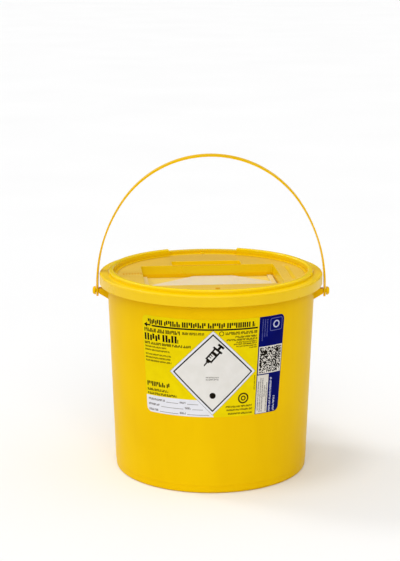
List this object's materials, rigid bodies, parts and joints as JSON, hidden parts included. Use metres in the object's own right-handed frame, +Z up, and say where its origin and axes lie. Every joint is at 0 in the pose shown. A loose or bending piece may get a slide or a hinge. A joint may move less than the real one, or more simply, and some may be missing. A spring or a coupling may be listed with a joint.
{
  "type": "sharps container",
  "caption": "Round lidded bucket for used sharps, with a sunk well, a lift-up closure flap and a bail handle.",
  "frame": {"origin": "centre of the base, on the plane that the foot ring stands on", "axes": "+Z up, label towards -Y, handle pivots on the X axis' two sides at z = 0.2234"},
  "size_m": [0.2952, 0.277, 0.3944],
  "materials": {
    "body_yellow": "satin moulded polypropylene",
    "lid_yellow": "glossy border, finely textured panel",
    "flap_natural": "milky natural polypropylene",
    "handle_yellow": "satin moulded polypropylene",
    "label_film": "printed self-adhesive film"
  },
  "bodies": {
    "root": {"container_body": "body_yellow", "lid": "lid_yellow", "aperture_frame": "lid_yellow", "front_label": "label_film"},
    "flap": {"closure_flap": "flap_natural"},
    "handle": {"carry_handle": "handle_yellow"}
  },
  "joints": [
    {"name": "flap_lift", "type": "hinge", "parent": "root", "child": "flap", "pos_m": [-0.00441, 0.04579, 0.229], "axis": [-0.9954, -0.0958, 0], "range_deg": [0, 103]},
    {"name": "handle_swing", "type": "hinge", "parent": "root", "child": "handle", "pos_m": [0, 0, 0.2234], "axis": [1, 0, 0], "range_deg": [-129, 129]}
  ]
}
